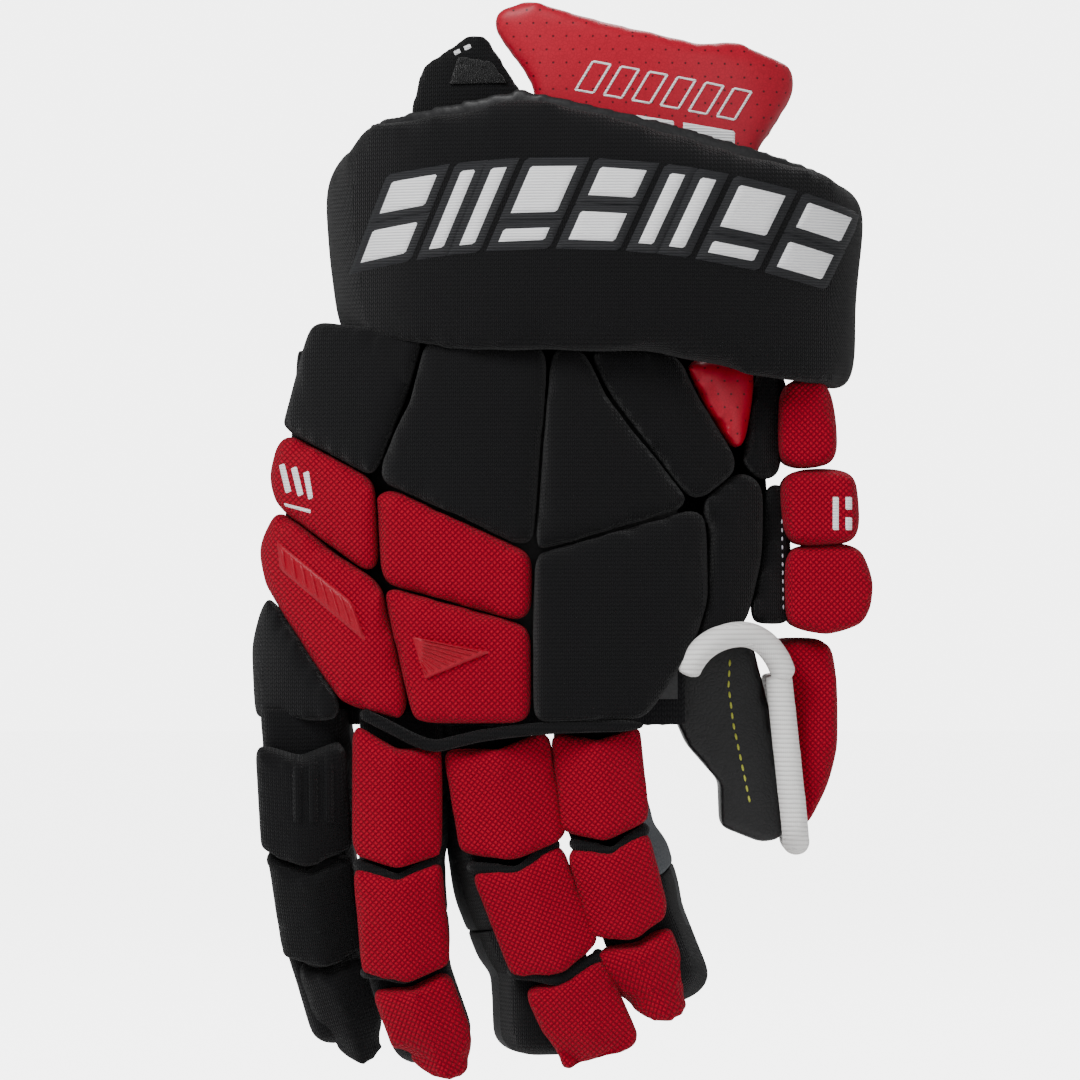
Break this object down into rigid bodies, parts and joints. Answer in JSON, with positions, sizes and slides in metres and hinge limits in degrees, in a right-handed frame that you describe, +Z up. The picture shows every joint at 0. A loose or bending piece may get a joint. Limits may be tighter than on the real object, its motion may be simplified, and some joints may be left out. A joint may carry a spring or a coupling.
{
  "type": "ice hockey glove",
  "caption": "Right-hand ice hockey glove with segmented foam back pads, hinged finger and thumb sections, a flared knit cuff and a rising leather cuff tongue.",
  "frame": {"origin": "centre of the hand cavity's mouth, at the wrist line where the lining ends under the cuff", "axes": "+Z up the forearm (fingers hang down to -Z), -Y out of the padded back of the hand, +Y out of the palm, +X to the thumb"},
  "size_m": [0.1972, 0.0969, 0.3529],
  "materials": {
    "red_weave": "coarse basket weave",
    "black_knit": "fine knit",
    "red_leather": "smooth, perforated",
    "white_binding": "ribbed knit tape",
    "palm_leather": "matt split leather",
    "thumb_leather": "smooth with a sheen",
    "hard_insert": "moulded sheet",
    "lining": "brushed knit lining",
    "loop_pile": "fuzzy loop pile"
  },
  "bodies": {
    "hand": {"back_plate": "hard_insert", "emblem_ribbed": "red_weave", "emblem_triangle": "red_weave", "hand_liner": "lining", "knuckle_trim": "black_knit", "pad_back_lower_inner": "red_weave", "pad_back_lower_outer": "red_weave", "pad_back_upper_inner": "red_weave", "pad_back_upper_outer": "red_weave", "pad_index_knuckle": "black_knit", "pad_pinky_knuckle": "black_knit", "pad_wrist_centre": "black_knit", "pad_wrist_inner": "black_knit", "pad_wrist_middle": "black_knit", "pad_wrist_outer": "black_knit", "palm_leather": "palm_leather", "perforated_insert": "red_leather", "pinky_side_panel": "black_knit", "thumb_base_pad": "red_weave", "thumb_cuff_pad": "red_weave", "thumb_gusset": "black_knit", "thumb_wrist_pad": "red_weave", "web_binding": "white_binding", "web_edge_pad": "black_knit", "web_knit_roll": "black_knit", "wrist_side_roll": "black_knit", "wrist_sleeve": "lining"},
    "index_1": {"index_1_pad": "red_weave", "index_1_stall": "palm_leather"},
    "index_2": {"index_2_pad": "red_weave", "index_2_stall": "palm_leather"},
    "index_3": {"index_3_pad": "red_weave", "index_3_stall": "palm_leather"},
    "middle_1": {"middle_1_pad": "red_weave", "middle_1_stall": "palm_leather"},
    "middle_2": {"middle_2_pad": "red_weave", "middle_2_stall": "palm_leather"},
    "middle_3": {"middle_3_pad": "red_weave", "middle_3_stall": "palm_leather"},
    "ring_1": {"ring_1_pad": "red_weave", "ring_1_stall": "palm_leather"},
    "ring_2": {"ring_2_pad": "red_weave", "ring_2_stall": "palm_leather"},
    "ring_3": {"ring_3_pad": "red_weave", "ring_3_stall": "palm_leather"},
    "pinky_1": {"pinky_1_pad": "black_knit", "pinky_1_stall": "palm_leather"},
    "pinky_2": {"pinky_2_pad": "black_knit", "pinky_2_stall": "palm_leather"},
    "pinky_3": {"pinky_3_pad": "black_knit", "pinky_3_stall": "palm_leather"},
    "thumb": {"thumb_shell_pad": "red_weave", "thumb_stall": "thumb_leather", "thumb_binding": "white_binding", "thumb_insert": "hard_insert"},
    "cuff": {"cuff_roll": "black_knit", "cuff_board": "hard_insert"},
    "tongue": {"cuff_tongue": "red_leather"},
    "tab": {"cuff_tab": "black_knit", "tab_loop_patch": "loop_pile"}
  },
  "joints": [
    {"name": "index_knuckle_hinge", "type": "hinge", "parent": "hand", "child": "index_1", "pos_m": [0.0175, -0.007, -0.122], "axis": [1, 0, 0], "range_deg": [-3, 52], "stiffness_Nm_per_rad": 0.4},
    {"name": "index_middle_hinge", "type": "hinge", "parent": "index_1", "child": "index_2", "pos_m": [0.022, -0.006, -0.1555], "axis": [0.9798, 0, 0.2], "range_deg": [0, 56], "stiffness_Nm_per_rad": 0.4},
    {"name": "index_end_hinge", "type": "hinge", "parent": "index_2", "child": "index_3", "pos_m": [0.03, -0.002, -0.1845], "axis": [0.9533, 0, 0.3019], "range_deg": [0, 34], "stiffness_Nm_per_rad": 0.4},
    {"name": "middle_knuckle_hinge", "type": "hinge", "parent": "hand", "child": "middle_1", "pos_m": [-0.0145, -0.007, -0.122], "axis": [1, 0, 0], "range_deg": [-3, 52], "stiffness_Nm_per_rad": 0.4},
    {"name": "middle_middle_hinge", "type": "hinge", "parent": "middle_1", "child": "middle_2", "pos_m": [-0.0085, -0.006, -0.162], "axis": [0.9661, 0, 0.258], "range_deg": [0, 56], "stiffness_Nm_per_rad": 0.4},
    {"name": "middle_end_hinge", "type": "hinge", "parent": "middle_2", "child": "middle_3", "pos_m": [0.005, -0.002, -0.1965], "axis": [0.9221, 0, 0.3868], "range_deg": [0, 34], "stiffness_Nm_per_rad": 0.4},
    {"name": "ring_knuckle_hinge", "type": "hinge", "parent": "hand", "child": "ring_1", "pos_m": [-0.0455, -0.007, -0.122], "axis": [1, 0, 0], "range_deg": [-3, 52], "stiffness_Nm_per_rad": 0.4},
    {"name": "ring_middle_hinge", "type": "hinge", "parent": "ring_1", "child": "ring_2", "pos_m": [-0.0455, -0.005, -0.164], "axis": [0.9991, 0, 0.0427], "range_deg": [0, 56], "stiffness_Nm_per_rad": 0.4},
    {"name": "ring_end_hinge", "type": "hinge", "parent": "ring_2", "child": "ring_3", "pos_m": [-0.0425, -0.001, -0.199], "axis": [0.9766, 0, 0.2149], "range_deg": [0, 34], "stiffness_Nm_per_rad": 0.4},
    {"name": "pinky_knuckle_hinge", "type": "hinge", "parent": "hand", "child": "pinky_1", "pos_m": [-0.077, -0.007, -0.122], "axis": [1, 0, 0], "range_deg": [-3, 52], "stiffness_Nm_per_rad": 0.4},
    {"name": "pinky_middle_hinge", "type": "hinge", "parent": "pinky_1", "child": "pinky_2", "pos_m": [-0.076, 0.007, -0.157], "axis": [0.9971, 0, 0.0764], "range_deg": [0, 56], "stiffness_Nm_per_rad": 0.4},
    {"name": "pinky_end_hinge", "type": "hinge", "parent": "pinky_2", "child": "pinky_3", "pos_m": [-0.072, 0.019, -0.189], "axis": [0.9796, 0, 0.201], "range_deg": [0, 34], "stiffness_Nm_per_rad": 0.4},
    {"name": "thumb_hinge", "type": "hinge", "parent": "hand", "child": "thumb", "pos_m": [0.062, 0.008, -0.0935], "axis": [0.7986, 0.6018, 0], "range_deg": [0, 30], "stiffness_Nm_per_rad": 0.5},
    {"name": "cuff_hinge", "type": "hinge", "parent": "hand", "child": "cuff", "pos_m": [0.018, -0.053, 0], "axis": [1, 0, 0], "range_deg": [0, 20], "stiffness_Nm_per_rad": 1},
    {"name": "tongue_hinge", "type": "hinge", "parent": "cuff", "child": "tongue", "pos_m": [0.033, -0.031, 0.048], "axis": [1, 0, 0], "range_deg": [-20, 3], "stiffness_Nm_per_rad": 0.5},
    {"name": "tab_hinge", "type": "hinge", "parent": "cuff", "child": "tab", "pos_m": [-0.019, -0.029, 0.058], "axis": [1, 0, 0], "range_deg": [-20, 3], "stiffness_Nm_per_rad": 0.25}
  ],
  "couplings": [
    {"joint": "index_end_hinge", "follows": "index_middle_hinge", "ratio": 0.6},
    {"joint": "middle_end_hinge", "follows": "middle_middle_hinge", "ratio": 0.6},
    {"joint": "ring_end_hinge", "follows": "ring_middle_hinge", "ratio": 0.6},
    {"joint": "pinky_end_hinge", "follows": "pinky_middle_hinge", "ratio": 0.6}
  ]
}
